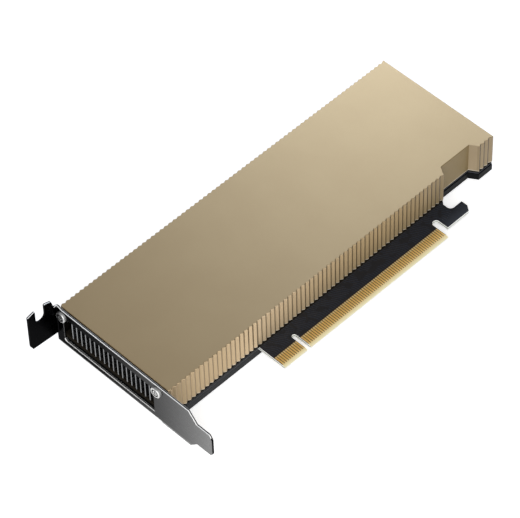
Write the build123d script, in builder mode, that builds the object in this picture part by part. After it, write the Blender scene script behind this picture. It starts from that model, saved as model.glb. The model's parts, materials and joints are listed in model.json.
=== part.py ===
from build123d import *
import os

os.makedirs("parts", exist_ok=True)

# Low-profile passive accelerator card, in millimetres.
# The origin is the middle of the key notch, on the contact edge, at the board's component face.
# X runs from the bracket to the far end, Y from the contact edge to the top edge,
# and Z from the board's component face to the outside of the cover.

# Circuit board
board_thickness = 1.57
board_bottom_y = 13.70
board_top_y = 68.90
board_bracket_gap = 0.30
card_end_x = 110.30

# Edge connector
connector_left_x = -12.15
connector_right_x = 72.13
key_width = 1.90
key_top_y = 8.50
end_slot_width = 3.00
end_slot_top_y = 9.00
contact_pitch = 1.00
contact_width = 0.70
contact_top_y = 5.60
contact_bevel_gap = 0.10
contact_thickness = 0.06
contact_key_offset = 1.50
contacts_before_key = 11
contacts_after_key = 71
bevel_height = 1.30
bevel_depth = 0.42

# Retaining hook beside the connector, and the latch clearance above it
hook_bottom_y = 3.10
hook_neck_width = 6.97
hook_bar_reach = 5.85
hook_bar_top_y = 8.20
hook_corner = 1.60
hook_fillet = 1.70
hook_lead_rise = 2.24
latch_start_x = 83.70
latch_floor_start_x = 85.75
latch_floor_end_x = 100.85
latch_end_x = 103.05
latch_depth = 3.45

# Cover
cover_height = 13.72
cover_overhang = 0.30
cover_bracket_gap = 0.47
cover_roof = 1.20
cover_wall = 1.20
cover_edge = 0.15
rib_pitch = 2.185
rib_depth = 0.60

# Cover posts and the screws that come up into them
post_half = 1.90
post_inset_y = 2.70
post_inset_x = 3.70
post_bracket_gap = 10.11
post_column_count = 3
cover_screw_radius = 1.00
cover_screw_head_radius = 1.90
cover_screw_head_edge = 0.15
cover_screw_grip = 5.00
cover_screw_tip_gap = 1.00
countersink_angle = 45
screw_clearance = 0.10
round_side_count = 16

# Rear plate
rear_depth = 2.99
rear_floor = 1.10
rear_rim = 5.00

# Bracket
face_x = -56.57
sheet = 0.86
bracket_low_z = -4.86
bracket_high_z = 13.56
seat_y = 69.34
bend_radius = 0.40
bend_high_z = 14.35
bend_shoulder = 2.00
lip_top_y = 70.10
lip_corner = 1.20
shoulder_y = 2.65
tongue_start_y = -1.20
tongue_end_y = -8.60
tongue_low_z = -1.90
tongue_high_z = 9.00
tongue_corner = 1.00
tongue_chamfer = 2.40
step_y = -0.90
step_corner_y = 2.50
foot_start_y = 17.00
foot_low_z = -5.40
foot_corner = 0.60
window_low_y = 20.30
window_high_y = 66.60
window_low_z = -2.60
window_high_z = 10.60
window_corner = 1.50

# Bracket tab
tab_reach = 13.17
tab_low_z = 0.00
tab_high_z = 19.20
tab_rise = 0.90
tab_low_corner = 1.90
tab_top_corner = 0.70
tab_root_reach = 1.15
tab_root_rise = 0.55
tab_neck_reach = 2.15
screw_slot_reach = 7.60
screw_slot_radius = 2.21
screw_slot_low_z = 12.60

# Bracket screws
bracket_screw_z = 10.85
bracket_screw_low_y = 18.20
bracket_screw_high_y = 66.65
bracket_screw_radius = 1.25
bracket_screw_length = 6.50
bracket_head_radius = 2.25
bracket_head_height = 1.35
bracket_head_dome = 0.60
ear_radius = 2.75
boss_half = 2.15
boss_length = 7.00
recess_width = 0.62
recess_length = 2.60
recess_depth = 0.70

# Heatsink
fin_pitch = 2.325
fin_first_y = 21.08
fin_count = 19
fin_thickness = 0.50
fin_flange = 0.80
fin_flange_thickness = 0.40
fin_bracket_gap = 0.14
fin_board_gap = 0.40
fin_roof_gap = 0.32
fin_end_x = 108.50
base_top_z = 4.80
base_start_x = -33.00
base_end_x = 95.00
base_step_x = 49.50
base_margin = 1.20
base_gap = 0.30
power_pad_thickness = 0.50

# Processor package
processor_x = 10.00
processor_y = 41.30
substrate_side = 33.00
substrate_thickness = 1.30
die_length = 19.00
die_width = 16.00
die_thickness = 0.80
paste_thickness = 0.10

# Heatsink fasteners
standoff_spacing_x = 27.00
standoff_spacing_y = 38.80
standoff_radius = 2.20
standoff_bore = 1.00
spring_thickness = 0.80
spring_arm_width = 6.00
spring_ring = 24.00
spring_opening = 16.00
heatsink_screw_radius = 0.90
heatsink_head_radius = 1.80
heatsink_head_height = 0.80

# Memory
memory_spacing_x = 58.00
memory_spacing_y = 16.00
memory_length = 14.00
memory_width = 12.00
memory_thickness = 1.10
memory_row_count = 3

# Power supply
inductor_x = 71.50
inductor_spacing_x = 17.00
inductor_spacing_y = 11.00
inductor_side = 6.60
inductor_height = 3.00
inductor_pad_margin = 0.50
inductor_row_count = 4
stage_length = 5.00
stage_width = 6.00
stage_height = 0.90
stage_gap = 1.20
bulk_x = 101.50
bulk_length = 7.30
bulk_width = 4.30
bulk_height = 2.80
bulk_wall_gap = 3.40
bulk_count = 5

# Small parts
ceramic_length = 1.60
ceramic_width = 0.80
ceramic_height = 0.80
ceramic_gap = 1.40
ceramic_spacing = 3.40
ceramic_row_count = 9
rear_ceramic_spacing = 3.00
rear_ceramic_row_count = 5
small_parts_x = 54.50
controller_side = 7.00
controller_height = 0.90
firmware_length = 6.00
firmware_width = 5.00
firmware_height = 1.60
crystal_length = 3.20
crystal_width = 2.50
crystal_height = 0.80
small_parts_spacing = 12.50

# Places worked out from the sizes above
bracket_back_x = face_x + sheet
board_start_x = bracket_back_x + board_bracket_gap
board_middle_y = (board_bottom_y + board_top_y) / 2
rear_z = -board_thickness - rear_depth
cavity_z = rear_z + rear_floor
cover_start_x = bracket_back_x + cover_bracket_gap
cover_low_y = board_bottom_y - cover_overhang
cover_high_y = board_top_y + cover_overhang
roof_z = cover_height - cover_roof
side_thickness = rib_depth + cover_wall
inner_low_y = cover_low_y + side_thickness
inner_high_y = cover_high_y - side_thickness
hook_neck_x = connector_right_x + end_slot_width + hook_neck_width
hook_tip_x = hook_neck_x + hook_bar_reach
contact_low_y = bevel_height + contact_bevel_gap
contact_length = contact_top_y - contact_low_y
contact_columns = [-contact_key_offset - contact_pitch * index for index in range(contacts_before_key)]
contact_columns += [contact_key_offset + contact_pitch * index for index in range(contacts_after_key)]
contact_places = [(column, contact_low_y) for column in contact_columns]
post_start_x = bracket_back_x + post_bracket_gap
post_end_x = card_end_x - post_inset_x
post_low_y = board_bottom_y + post_inset_y
post_high_y = board_top_y - post_inset_y
post_step = (post_end_x - post_start_x) / (post_column_count - 1)
post_middle = ((post_start_x + post_end_x) / 2, (post_low_y + post_high_y) / 2)
post_grid = (post_step, post_high_y - post_low_y, post_column_count, 2)
die_top_z = substrate_thickness + die_thickness
base_bottom_z = die_top_z + paste_thickness
power_pad_top_z = inductor_height + power_pad_thickness
fin_top_z = roof_z - fin_roof_gap
fin_start_x = bracket_back_x + fin_bracket_gap
fin_last_y = fin_first_y + fin_pitch * (fin_count - 1)
base_low_y = fin_first_y - base_margin
base_high_y = fin_last_y + base_margin
standoff_grid = (standoff_spacing_x, standoff_spacing_y, 2, 2)
memory_grid = (memory_spacing_x, memory_spacing_y, 2, memory_row_count)
inductor_grid = (inductor_spacing_x, inductor_spacing_y, 2, inductor_row_count)
bulk_span = inner_high_y - inner_low_y - bulk_width - 2 * bulk_wall_gap
stage_offset = (inductor_side + stage_length) / 2 + stage_gap


def latch_notch(y, end_y):
    """Points of the latch clearance in an edge at height y, from its start to its end."""
    return [
        (latch_start_x, y),
        (latch_floor_start_x, end_y),
        (latch_floor_end_x, end_y),
        (latch_end_x, y),
    ]


def plate_outline(low_y, high_y):
    """Outline of the card's body, without the connector, between its two long edges."""
    return [
        (board_start_x, low_y),
        *latch_notch(low_y, low_y + latch_depth),
        (card_end_x, low_y),
        (card_end_x, high_y),
        (board_start_x, high_y),
    ]


def rib_run(start_x, end_x, valley_y, crest_y):
    """Zigzag of side ribs from a valley at start_x to the last crest before end_x."""
    count = int((end_x - start_x) / rib_pitch + 0.5)
    points = []
    for index in range(count):
        valley_x = start_x + index * rib_pitch
        points.append((valley_x, valley_y))
        points.append((valley_x + rib_pitch / 2, crest_y))
    return points


def cover_outline(inset):
    """Ribbed outline of the cover, drawn in by a small inset along both sides and ends."""
    low_y = cover_low_y + inset
    high_y = cover_high_y - inset
    start_x = cover_start_x + inset
    end_x = card_end_x - inset
    start_rise = rib_depth * inset / (rib_pitch / 2)
    low_run = rib_run(cover_start_x, latch_start_x, low_y + rib_depth, low_y)
    end_run = rib_run(latch_end_x + rib_pitch / 2, card_end_x, low_y + rib_depth, low_y)
    high_run = rib_run(cover_start_x, card_end_x, high_y - rib_depth, high_y)
    low_run[0] = (start_x, low_y + rib_depth - start_rise)
    high_run[0] = (start_x, high_y - rib_depth + start_rise)
    notch = latch_notch(low_y, low_y + latch_depth)
    ends = [(end_x, low_y), (end_x, high_y)]
    return low_run + notch + end_run + ends + high_run[::-1]


def round_bar(radius):
    """Many-sided outline for the small shanks and holes that repeat."""
    return RegularPolygon(radius, round_side_count)


def round_hole(radius):
    """The same outline, cut out of the sketch."""
    return RegularPolygon(radius, round_side_count, mode=Mode.SUBTRACT)


# Circuit board with its connector tab, hook and bevelled contact edge
with BuildPart() as circuit_board:
    with BuildSketch(Plane.XY.offset(-board_thickness)) as board_sketch:
        with BuildLine():
            Polyline(*plate_outline(board_bottom_y, board_top_y), close=True)
        make_face()
        with BuildLine():
            Polyline(
                (connector_left_x, board_middle_y),
                (connector_left_x, 0),
                (connector_right_x, 0),
                (connector_right_x, hook_bottom_y),
                (hook_tip_x - hook_corner, hook_bottom_y),
                (hook_tip_x, hook_bottom_y + hook_lead_rise),
                (hook_tip_x, hook_bar_top_y),
                (hook_neck_x, hook_bar_top_y),
                (hook_neck_x, board_bottom_y - hook_corner),
                (latch_start_x, board_bottom_y),
                (latch_start_x, board_middle_y),
                close=True,
            )
        make_face()
        hook_corner_point = (hook_neck_x, hook_bar_top_y, -board_thickness)
        fillet(board_sketch.vertices().sort_by_distance(hook_corner_point)[0], hook_fillet)
        with Locations((0, (key_top_y - key_width) / 2)):
            SlotOverall(key_top_y + key_width, key_width, rotation=90, mode=Mode.SUBTRACT)
        with Locations((connector_right_x + end_slot_width / 2, (end_slot_top_y - end_slot_width) / 2)):
            SlotOverall(end_slot_top_y + end_slot_width, end_slot_width, rotation=90, mode=Mode.SUBTRACT)
        with Locations(post_middle):
            with GridLocations(*post_grid):
                round_hole(cover_screw_radius + screw_clearance)
        with Locations((processor_x, processor_y)):
            with GridLocations(*standoff_grid):
                round_hole(heatsink_screw_radius + screw_clearance)
    extrude(amount=board_thickness)
    with BuildSketch(Plane.YZ.offset(connector_left_x)):
        for face_z, side in ((0, -1), (-board_thickness, 1)):
            with BuildLine():
                Polyline(
                    (0, face_z),
                    (bevel_height, face_z),
                    (0, face_z + side * bevel_depth),
                    close=True,
                )
            make_face()
    extrude(amount=connector_right_x - connector_left_x, mode=Mode.SUBTRACT)
circuit_board.part.label = "circuit_board"
export_step(circuit_board.part, "parts/circuit_board.step")

# Contacts: two runs beside the key, on both faces of the connector
with BuildPart() as edge_contacts_front:
    with BuildSketch():
        with Locations(contact_places):
            Rectangle(contact_width, contact_length, align=(Align.CENTER, Align.MIN))
    extrude(amount=contact_thickness)
edge_contacts_front.part.label = "edge_contacts_front"
export_step(edge_contacts_front.part, "parts/edge_contacts_front.step")

with BuildPart() as edge_contacts_back:
    with BuildSketch(Plane.XY.offset(-board_thickness)):
        with Locations(contact_places):
            Rectangle(contact_width, contact_length, align=(Align.CENTER, Align.MIN))
    extrude(amount=-contact_thickness)
edge_contacts_back.part.label = "edge_contacts_back"
export_step(edge_contacts_back.part, "parts/edge_contacts_back.step")

# Cover: a ribbed channel with a plain roof, open at both ends for the air
with BuildPart() as cover:
    with BuildSketch():
        with BuildLine():
            Polyline(*cover_outline(0), close=True)
        make_face()
    extrude(amount=cover_height - cover_edge)
    with BuildSketch(Plane.XY.offset(cover_height - cover_edge)):
        with BuildLine():
            Polyline(*cover_outline(0), close=True)
        make_face()
    with BuildSketch(Plane.XY.offset(cover_height)):
        with BuildLine():
            Polyline(*cover_outline(cover_edge), close=True)
        make_face()
    loft(ruled=True)
    with BuildSketch():
        with BuildLine():
            Polyline(
                (cover_start_x - side_thickness, inner_low_y),
                (latch_start_x - side_thickness / 2, inner_low_y),
                (latch_floor_start_x - side_thickness / 2, inner_low_y + latch_depth - rib_depth),
                (latch_floor_end_x + side_thickness / 2, inner_low_y + latch_depth - rib_depth),
                (latch_end_x + side_thickness / 2, inner_low_y),
                (card_end_x + side_thickness, inner_low_y),
                (card_end_x + side_thickness, inner_high_y),
                (cover_start_x - side_thickness, inner_high_y),
                close=True,
            )
        make_face()
        with Locations(post_middle):
            with GridLocations(*post_grid):
                Rectangle(2 * post_half, 2 * post_half, mode=Mode.SUBTRACT)
    extrude(amount=roof_z, mode=Mode.SUBTRACT)
    with BuildSketch():
        with Locations(post_middle):
            with GridLocations(*post_grid):
                round_bar(cover_screw_radius + screw_clearance / 2)
    extrude(amount=cover_screw_grip + cover_screw_tip_gap, mode=Mode.SUBTRACT)
    with BuildSketch(Plane.YZ.offset(bracket_back_x)):
        boss_low_z = bracket_screw_z - boss_half
        with Locations((inner_low_y, boss_low_z)):
            Rectangle(
                bracket_screw_low_y + boss_half - inner_low_y,
                roof_z - boss_low_z,
                align=(Align.MIN, Align.MIN),
            )
        with Locations((inner_high_y, boss_low_z)):
            Rectangle(
                inner_high_y - bracket_screw_high_y + boss_half,
                roof_z - boss_low_z,
                align=(Align.MAX, Align.MIN),
            )
    extrude(amount=boss_length)
    with BuildSketch(Plane.YZ.offset(bracket_back_x)):
        with Locations((bracket_screw_low_y, bracket_screw_z), (bracket_screw_high_y, bracket_screw_z)):
            round_bar(bracket_screw_radius + screw_clearance / 2)
    extrude(amount=bracket_screw_length, mode=Mode.SUBTRACT)
cover.part.label = "cover"
export_step(cover.part, "parts/cover.step")

# Rear plate: a shallow tray under the board, its wide rim countersunk for the cover screws
with BuildPart() as rear_plate:
    with BuildSketch(Plane.XY.offset(rear_z)):
        with BuildLine():
            Polyline(*plate_outline(cover_low_y, cover_high_y), close=True)
        make_face()
        with Locations(post_middle):
            with GridLocations(*post_grid):
                round_hole(cover_screw_radius + screw_clearance)
    extrude(amount=rear_depth)
    with BuildSketch(Plane.XY.offset(cavity_z)):
        with Locations(((board_start_x + card_end_x) / 2, board_middle_y)):
            Rectangle(
                card_end_x - board_start_x - 2 * rear_rim,
                board_top_y - board_bottom_y - 2 * rear_rim,
            )
    extrude(amount=rear_depth - rear_floor, mode=Mode.SUBTRACT)
    with BuildSketch(Plane.XY.offset(rear_z)):
        with Locations(post_middle):
            with GridLocations(*post_grid):
                round_bar(cover_screw_head_radius + screw_clearance)
    extrude(amount=cover_screw_head_edge, mode=Mode.SUBTRACT)
    with BuildSketch(Plane.XY.offset(rear_z + cover_screw_head_edge)):
        with Locations(post_middle):
            with GridLocations(*post_grid):
                round_bar(cover_screw_head_radius + screw_clearance)
    extrude(amount=cover_screw_head_radius - cover_screw_radius, taper=countersink_angle, mode=Mode.SUBTRACT)
rear_plate.part.label = "rear_plate"
export_step(rear_plate.part, "parts/rear_plate.step")

# Bracket: a flat plate with a narrow tongue, folded outward into the screw tab
with BuildPart() as io_bracket:
    bend_y = seat_y - bend_radius
    with BuildSketch(Plane.YZ.offset(face_x)) as plate:
        with BuildLine():
            Polyline(
                (bend_y, bend_high_z),
                (bend_y - bend_shoulder, bracket_high_z),
                (shoulder_y, bracket_high_z),
                (tongue_start_y, tongue_high_z),
                (tongue_end_y + tongue_corner, tongue_high_z),
                (tongue_end_y, tongue_high_z - tongue_chamfer),
                (tongue_end_y, tongue_low_z + tongue_corner),
                (tongue_end_y + tongue_corner, tongue_low_z),
                (step_y, tongue_low_z),
                (step_corner_y, foot_low_z),
                (foot_start_y - foot_corner, foot_low_z),
                (foot_start_y, bracket_low_z),
                (lip_top_y, bracket_low_z),
                (lip_top_y, tab_low_z),
                (bend_y, tab_low_z),
                close=True,
            )
        make_face()
        lip_point = plate.vertices().sort_by_distance((face_x, lip_top_y, bracket_low_z))[0]
        step_point = plate.vertices().sort_by_distance((face_x, step_corner_y, foot_low_z))[0]
        fillet([lip_point, step_point], lip_corner)
        with BuildSketch(mode=Mode.PRIVATE) as window:
            with Locations(((window_low_y + window_high_y) / 2, (window_low_z + window_high_z) / 2)):
                Rectangle(window_high_y - window_low_y, window_high_z - window_low_z)
            corners = window.vertices().sort_by(Axis.Y)[:2].sort_by(Axis.X)
            fillet(corners[-1], window_corner)
            with Locations((bracket_screw_low_y, bracket_screw_z), (bracket_screw_high_y, bracket_screw_z)):
                Circle(ear_radius, mode=Mode.SUBTRACT)
        add(window.sketch, mode=Mode.SUBTRACT)
        with Locations((bracket_screw_low_y, bracket_screw_z), (bracket_screw_high_y, bracket_screw_z)):
            round_hole(bracket_screw_radius + screw_clearance)
    extrude(amount=sheet)
    with BuildSketch(Plane.XY.offset(tab_low_z)):
        with Locations((face_x - bend_radius, bend_y)):
            Circle(bend_radius + sheet)
            Circle(bend_radius, mode=Mode.SUBTRACT)
            Rectangle(
                bend_radius + sheet,
                bend_radius + sheet,
                align=(Align.MIN, Align.MIN),
                mode=Mode.INTERSECT,
            )
    extrude(amount=bend_high_z - tab_low_z)
    with BuildSketch(Plane.XZ.offset(-seat_y)):
        root_x = face_x - bend_radius
        tip_x = face_x - tab_reach
        slot_x = face_x - screw_slot_reach
        with BuildLine():
            Polyline(
                (root_x, tab_low_z),
                (root_x, bend_high_z),
                (face_x - tab_root_reach, bracket_high_z + tab_root_rise),
                (face_x - tab_neck_reach, tab_high_z - tab_rise),
                (slot_x + screw_slot_radius + tab_top_corner, tab_high_z),
                (slot_x - screw_slot_radius - tab_top_corner, tab_high_z),
                (tip_x, tab_high_z - tab_top_corner),
                (tip_x, tab_low_z + tab_rise + tab_low_corner),
                (tip_x + tab_low_corner / 2, tab_low_z + tab_rise),
                close=True,
            )
        make_face()
        with Locations((slot_x, screw_slot_low_z + screw_slot_radius)):
            Circle(screw_slot_radius, mode=Mode.SUBTRACT)
            Rectangle(
                2 * screw_slot_radius,
                tab_high_z - screw_slot_low_z,
                align=(Align.CENTER, Align.MIN),
                mode=Mode.SUBTRACT,
            )
    extrude(amount=-sheet)
io_bracket.part.label = "io_bracket"
export_step(io_bracket.part, "parts/io_bracket.step")

# Bracket screws: domed heads with a cross recess, shanks in the cover's bosses
with BuildPart() as bracket_screws:
    head_front_x = face_x - bracket_head_height
    for screw_y in (bracket_screw_low_y, bracket_screw_high_y):
        with BuildSketch(Plane.YZ.offset(head_front_x)):
            with Locations((screw_y, bracket_screw_z)):
                Circle(bracket_head_radius)
        extrude(amount=bracket_head_height)
    chamfer(
        bracket_screws.faces().filter_by(Axis.X).group_by(Axis.X)[0].edges(),
        length=bracket_head_dome,
        length2=bracket_head_dome,
    )
    with BuildSketch(Plane.YZ.offset(face_x)):
        with Locations((bracket_screw_low_y, bracket_screw_z), (bracket_screw_high_y, bracket_screw_z)):
            round_bar(bracket_screw_radius)
    extrude(amount=bracket_screw_length - screw_clearance)
    with BuildSketch(Plane.YZ.offset(head_front_x)):
        with Locations((bracket_screw_low_y, bracket_screw_z), (bracket_screw_high_y, bracket_screw_z)):
            Rectangle(recess_length, recess_width)
            Rectangle(recess_width, recess_length)
    extrude(amount=recess_depth, mode=Mode.SUBTRACT)
bracket_screws.part.label = "bracket_screws"
export_step(bracket_screws.part, "parts/bracket_screws.step")

# Cover screws: countersunk, from behind the rear plate into the cover's posts
with BuildPart() as cover_screws:
    with BuildSketch(Plane.XY.offset(rear_z)):
        with Locations(post_middle):
            with GridLocations(*post_grid):
                round_bar(cover_screw_head_radius)
    extrude(amount=cover_screw_head_edge)
    with BuildSketch(Plane.XY.offset(rear_z + cover_screw_head_edge)):
        with Locations(post_middle):
            with GridLocations(*post_grid):
                round_bar(cover_screw_head_radius)
    extrude(amount=cover_screw_head_radius - cover_screw_radius, taper=countersink_angle)
    with BuildSketch(Plane.XY.offset(rear_z)):
        with Locations(post_middle):
            with GridLocations(*post_grid):
                round_bar(cover_screw_radius)
    extrude(amount=cover_screw_grip - rear_z)
cover_screws.part.label = "cover_screws"
export_step(cover_screws.part, "parts/cover_screws.step")

# Heatsink: a stepped base with upright fins, each with a short turned edge at its top
with BuildPart() as heatsink_base:
    base_width = base_high_y - base_low_y
    with BuildSketch(Plane.XY.offset(base_bottom_z)):
        with Locations((base_start_x, base_low_y)):
            Rectangle(base_end_x - base_start_x, base_width, align=(Align.MIN, Align.MIN))
    extrude(amount=base_top_z - base_bottom_z)
    with BuildSketch(Plane.XY.offset(base_bottom_z)):
        with Locations((base_step_x, base_low_y)):
            Rectangle(base_end_x - base_step_x, base_width, align=(Align.MIN, Align.MIN))
    extrude(amount=power_pad_top_z - base_bottom_z, mode=Mode.SUBTRACT)
heatsink_base.part.label = "heatsink_base"
export_step(heatsink_base.part, "parts/heatsink_base.step")

with BuildPart() as heatsink_fins:
    with BuildSketch(Plane.XZ.offset(-fin_first_y + fin_thickness / 2)):
        with BuildLine():
            Polyline(
                (fin_start_x, fin_board_gap),
                (base_start_x - base_gap, fin_board_gap),
                (base_start_x - base_gap, base_top_z),
                (fin_end_x, base_top_z),
                (fin_end_x, fin_top_z),
                (fin_start_x, fin_top_z),
                close=True,
            )
        make_face()
    extrude(amount=-fin_thickness)
    with BuildSketch(Plane.XY.offset(fin_top_z)):
        with Locations((fin_start_x, fin_first_y + fin_thickness / 2)):
            Rectangle(fin_end_x - fin_start_x, fin_flange, align=(Align.MIN, Align.MIN))
    extrude(amount=-fin_flange_thickness)
    fin = heatsink_fins.part
    with Locations([(0, fin_pitch * index, 0) for index in range(1, fin_count)]):
        add(fin)
heatsink_fins.part.label = "heatsink_fins"
export_step(heatsink_fins.part, "parts/heatsink_fins.step")

# Processor package under the middle of the base
with BuildPart() as processor_substrate:
    with BuildSketch():
        with Locations((processor_x, processor_y)):
            Rectangle(substrate_side, substrate_side)
    extrude(amount=substrate_thickness)
processor_substrate.part.label = "processor_substrate"
export_step(processor_substrate.part, "parts/processor_substrate.step")

with BuildPart() as processor_die:
    with BuildSketch(Plane.XY.offset(substrate_thickness)):
        with Locations((processor_x, processor_y)):
            Rectangle(die_length, die_width)
    extrude(amount=die_thickness)
processor_die.part.label = "processor_die"
export_step(processor_die.part, "parts/processor_die.step")

with BuildPart() as thermal_paste:
    with BuildSketch(Plane.XY.offset(die_top_z)):
        with Locations((processor_x, processor_y)):
            Rectangle(die_length, die_width)
    extrude(amount=paste_thickness)
thermal_paste.part.label = "thermal_paste"
export_step(thermal_paste.part, "parts/thermal_paste.step")

# Threaded standoffs between the board and the base, round the processor
with BuildPart() as heatsink_standoffs:
    with BuildSketch():
        with Locations((processor_x, processor_y)):
            with GridLocations(*standoff_grid):
                RegularPolygon(standoff_radius, 6)
                round_hole(standoff_bore)
    extrude(amount=base_bottom_z)
heatsink_standoffs.part.label = "heatsink_standoffs"
export_step(heatsink_standoffs.part, "parts/heatsink_standoffs.step")

# Four-armed spring behind the board, with the screws that pull the standoffs down
with BuildPart() as retention_spring:
    with BuildSketch(Plane.XY.offset(-board_thickness)):
        with Locations((processor_x, processor_y)):
            Rectangle(spring_ring, spring_ring)
            for high_y in (-1, 1):
                with Locations((0, high_y * standoff_spacing_y / 2)):
                    Rectangle(standoff_spacing_x + spring_arm_width, spring_arm_width)
            Rectangle(spring_arm_width, standoff_spacing_y)
            Rectangle(spring_opening, spring_opening, mode=Mode.SUBTRACT)
            with GridLocations(*standoff_grid):
                round_hole(heatsink_screw_radius + screw_clearance)
    extrude(amount=-spring_thickness)
retention_spring.part.label = "retention_spring"
export_step(retention_spring.part, "parts/retention_spring.step")

with BuildPart() as heatsink_screws:
    spring_back_z = -board_thickness - spring_thickness
    with BuildSketch(Plane.XY.offset(spring_back_z)):
        with Locations((processor_x, processor_y)):
            with GridLocations(*standoff_grid):
                round_bar(heatsink_head_radius)
    extrude(amount=-heatsink_head_height)
    with BuildSketch(Plane.XY.offset(spring_back_z)):
        with Locations((processor_x, processor_y)):
            with GridLocations(*standoff_grid):
                round_bar(heatsink_screw_radius)
    extrude(amount=base_bottom_z - standoff_bore - spring_back_z)
heatsink_screws.part.label = "heatsink_screws"
export_step(heatsink_screws.part, "parts/heatsink_screws.step")

# Memory, with soft pads up to the base
with BuildPart() as memory_chips:
    with BuildSketch():
        with Locations((processor_x, processor_y)):
            with GridLocations(*memory_grid):
                Rectangle(memory_length, memory_width)
    extrude(amount=memory_thickness)
memory_chips.part.label = "memory_chips"
export_step(memory_chips.part, "parts/memory_chips.step")

with BuildPart() as memory_pads:
    with BuildSketch(Plane.XY.offset(memory_thickness)):
        with Locations((processor_x, processor_y)):
            with GridLocations(*memory_grid):
                Rectangle(memory_length, memory_width)
    extrude(amount=base_bottom_z - memory_thickness)
memory_pads.part.label = "memory_pads"
export_step(memory_pads.part, "parts/memory_pads.step")

# Power supply: chokes with their pads, switching stages beside them, and reservoir capacitors
with BuildPart() as inductors:
    with BuildSketch():
        with Locations((inductor_x, processor_y)):
            with GridLocations(*inductor_grid):
                Rectangle(inductor_side, inductor_side)
    extrude(amount=inductor_height)
inductors.part.label = "inductors"
export_step(inductors.part, "parts/inductors.step")

with BuildPart() as inductor_pads:
    inductor_pad_side = inductor_side - 2 * inductor_pad_margin
    with BuildSketch(Plane.XY.offset(inductor_height)):
        with Locations((inductor_x, processor_y)):
            with GridLocations(*inductor_grid):
                Rectangle(inductor_pad_side, inductor_pad_side)
    extrude(amount=power_pad_thickness)
inductor_pads.part.label = "inductor_pads"
export_step(inductor_pads.part, "parts/inductor_pads.step")

with BuildPart() as power_stages:
    with BuildSketch():
        with Locations((inductor_x + stage_offset, processor_y)):
            with GridLocations(*inductor_grid):
                Rectangle(stage_length, stage_width)
    extrude(amount=stage_height)
power_stages.part.label = "power_stages"
export_step(power_stages.part, "parts/power_stages.step")

with BuildPart() as bulk_capacitors:
    with BuildSketch():
        with Locations((bulk_x, (inner_low_y + inner_high_y) / 2)):
            with GridLocations(1, bulk_span / (bulk_count - 1), 1, bulk_count):
                Rectangle(bulk_length, bulk_width)
    extrude(amount=bulk_height)
bulk_capacitors.part.label = "bulk_capacitors"
export_step(bulk_capacitors.part, "parts/bulk_capacitors.step")

# Small decoupling capacitors beside the processor and behind it
with BuildPart() as ceramic_capacitors:
    with BuildSketch():
        with Locations((processor_x, processor_y)):
            ceramic_span = substrate_side + ceramic_length + 2 * ceramic_gap
            with GridLocations(ceramic_span, ceramic_spacing, 2, ceramic_row_count):
                Rectangle(ceramic_length, ceramic_width)
    extrude(amount=ceramic_height)
ceramic_capacitors.part.label = "ceramic_capacitors"
export_step(ceramic_capacitors.part, "parts/ceramic_capacitors.step")

with BuildPart() as rear_capacitors:
    with BuildSketch(Plane.XY.offset(-board_thickness)):
        with Locations((processor_x, processor_y)):
            with GridLocations(
                rear_ceramic_spacing,
                rear_ceramic_spacing,
                rear_ceramic_row_count,
                rear_ceramic_row_count,
            ):
                Rectangle(ceramic_length, ceramic_width)
    extrude(amount=-ceramic_height)
rear_capacitors.part.label = "rear_capacitors"
export_step(rear_capacitors.part, "parts/rear_capacitors.step")

# Controller, firmware memory and clock crystal in one column
with BuildPart() as controller_chip:
    with BuildSketch():
        with Locations((small_parts_x, processor_y)):
            Rectangle(controller_side, controller_side)
    extrude(amount=controller_height)
controller_chip.part.label = "controller_chip"
export_step(controller_chip.part, "parts/controller_chip.step")

with BuildPart() as firmware_chip:
    with BuildSketch():
        with Locations((small_parts_x, processor_y - small_parts_spacing)):
            Rectangle(firmware_length, firmware_width)
    extrude(amount=firmware_height)
firmware_chip.part.label = "firmware_chip"
export_step(firmware_chip.part, "parts/firmware_chip.step")

with BuildPart() as crystal:
    with BuildSketch():
        with Locations((small_parts_x, processor_y + small_parts_spacing)):
            Rectangle(crystal_length, crystal_width)
    extrude(amount=crystal_height)
crystal.part.label = "crystal"
export_step(crystal.part, "parts/crystal.step")
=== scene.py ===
"""Looks of the passive accelerator card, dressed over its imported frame."""

import json
import logging
import math
from dataclasses import dataclass, field
from enum import Enum
from typing import Callable, Iterable, Protocol, Sequence

import bmesh
import bpy
from mathutils import Matrix, Vector

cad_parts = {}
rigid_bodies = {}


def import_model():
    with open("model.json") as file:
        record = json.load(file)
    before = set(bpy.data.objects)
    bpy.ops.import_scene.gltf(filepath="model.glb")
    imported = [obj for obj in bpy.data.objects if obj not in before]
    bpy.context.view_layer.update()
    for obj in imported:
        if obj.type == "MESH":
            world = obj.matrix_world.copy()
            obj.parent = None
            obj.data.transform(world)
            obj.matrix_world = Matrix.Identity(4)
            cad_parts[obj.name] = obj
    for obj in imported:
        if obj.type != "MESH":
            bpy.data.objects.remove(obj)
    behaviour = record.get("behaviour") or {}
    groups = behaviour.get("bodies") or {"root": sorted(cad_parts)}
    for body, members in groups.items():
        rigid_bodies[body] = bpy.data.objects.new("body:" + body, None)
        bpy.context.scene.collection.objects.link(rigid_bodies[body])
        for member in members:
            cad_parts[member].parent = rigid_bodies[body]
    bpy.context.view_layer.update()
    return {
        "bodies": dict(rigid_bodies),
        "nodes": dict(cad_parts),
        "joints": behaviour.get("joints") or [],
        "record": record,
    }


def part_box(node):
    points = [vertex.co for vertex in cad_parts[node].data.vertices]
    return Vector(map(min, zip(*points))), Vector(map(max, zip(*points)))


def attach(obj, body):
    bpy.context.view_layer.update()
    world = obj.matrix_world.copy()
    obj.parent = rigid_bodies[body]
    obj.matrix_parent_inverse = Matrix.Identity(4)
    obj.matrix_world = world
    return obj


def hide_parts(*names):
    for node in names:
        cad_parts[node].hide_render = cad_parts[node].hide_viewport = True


LOG = logging.getLogger("card")
MM = 0.001
BODY = "root"

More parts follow.
